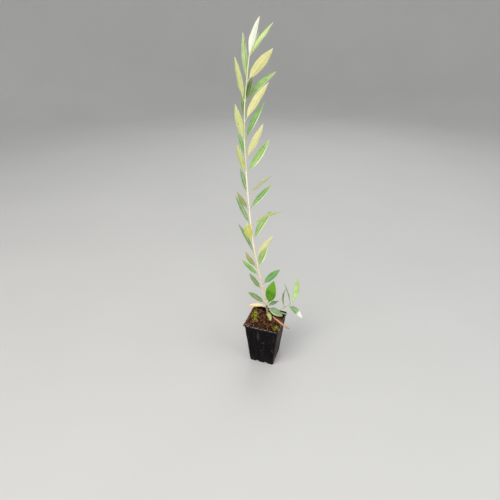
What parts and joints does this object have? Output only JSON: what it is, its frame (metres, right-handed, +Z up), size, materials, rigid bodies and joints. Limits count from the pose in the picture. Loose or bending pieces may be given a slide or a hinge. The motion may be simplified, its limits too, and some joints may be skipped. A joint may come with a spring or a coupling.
{
  "type": "potted olive tree",
  "caption": "Young olive tree with a slender leaning stem, opposite pairs of narrow leaves and a low side shoot, in a square tapered nursery pot filled with compost.",
  "frame": {"origin": "centre of the pot's flat underside", "axes": "+Z up along the pot and the stem; the pot's sides face +X, -X, +Y and -Y, and the plant's front is seen from 19 degrees round from -Y towards +X"},
  "size_m": [0.1415, 0.0889, 0.635],
  "materials": {
    "pot_plastic": "matt black, dusty, with pale scuffs along the rim",
    "compost": "fibrous dark brown peat compost with moss",
    "bark": "smooth pale tan bark",
    "leaf": "leathery green above, pale yellow-green below",
    "dry_leaf": "dry, cream to tan",
    "dry_twig": "dry, pinkish tan"
  },
  "bodies": {
    "root": {"pot": "pot_plastic", "compost": "compost", "stem": "bark", "leaf_pair_01": "leaf", "leaf_pair_02": "leaf", "leaf_pair_03": "leaf", "leaf_pair_04": "leaf", "leaf_pair_05": "leaf", "leaf_pair_06": "leaf", "leaf_pair_07": "leaf", "leaf_pair_08": "leaf", "leaf_pair_09": "leaf", "leaf_pair_10": "leaf", "leaf_pair_11": "leaf", "leaf_pair_12": "leaf", "leaf_pair_13": "leaf", "leaf_pair_14": "leaf", "leaf_pair_15": "leaf", "tip_leaves": "leaf", "basal_leaves": "leaf", "dead_leaf": "dry_leaf", "side_shoot": "bark", "side_shoot_leaves": "leaf", "dry_twig": "dry_twig"}
  },
  "joints": []
}
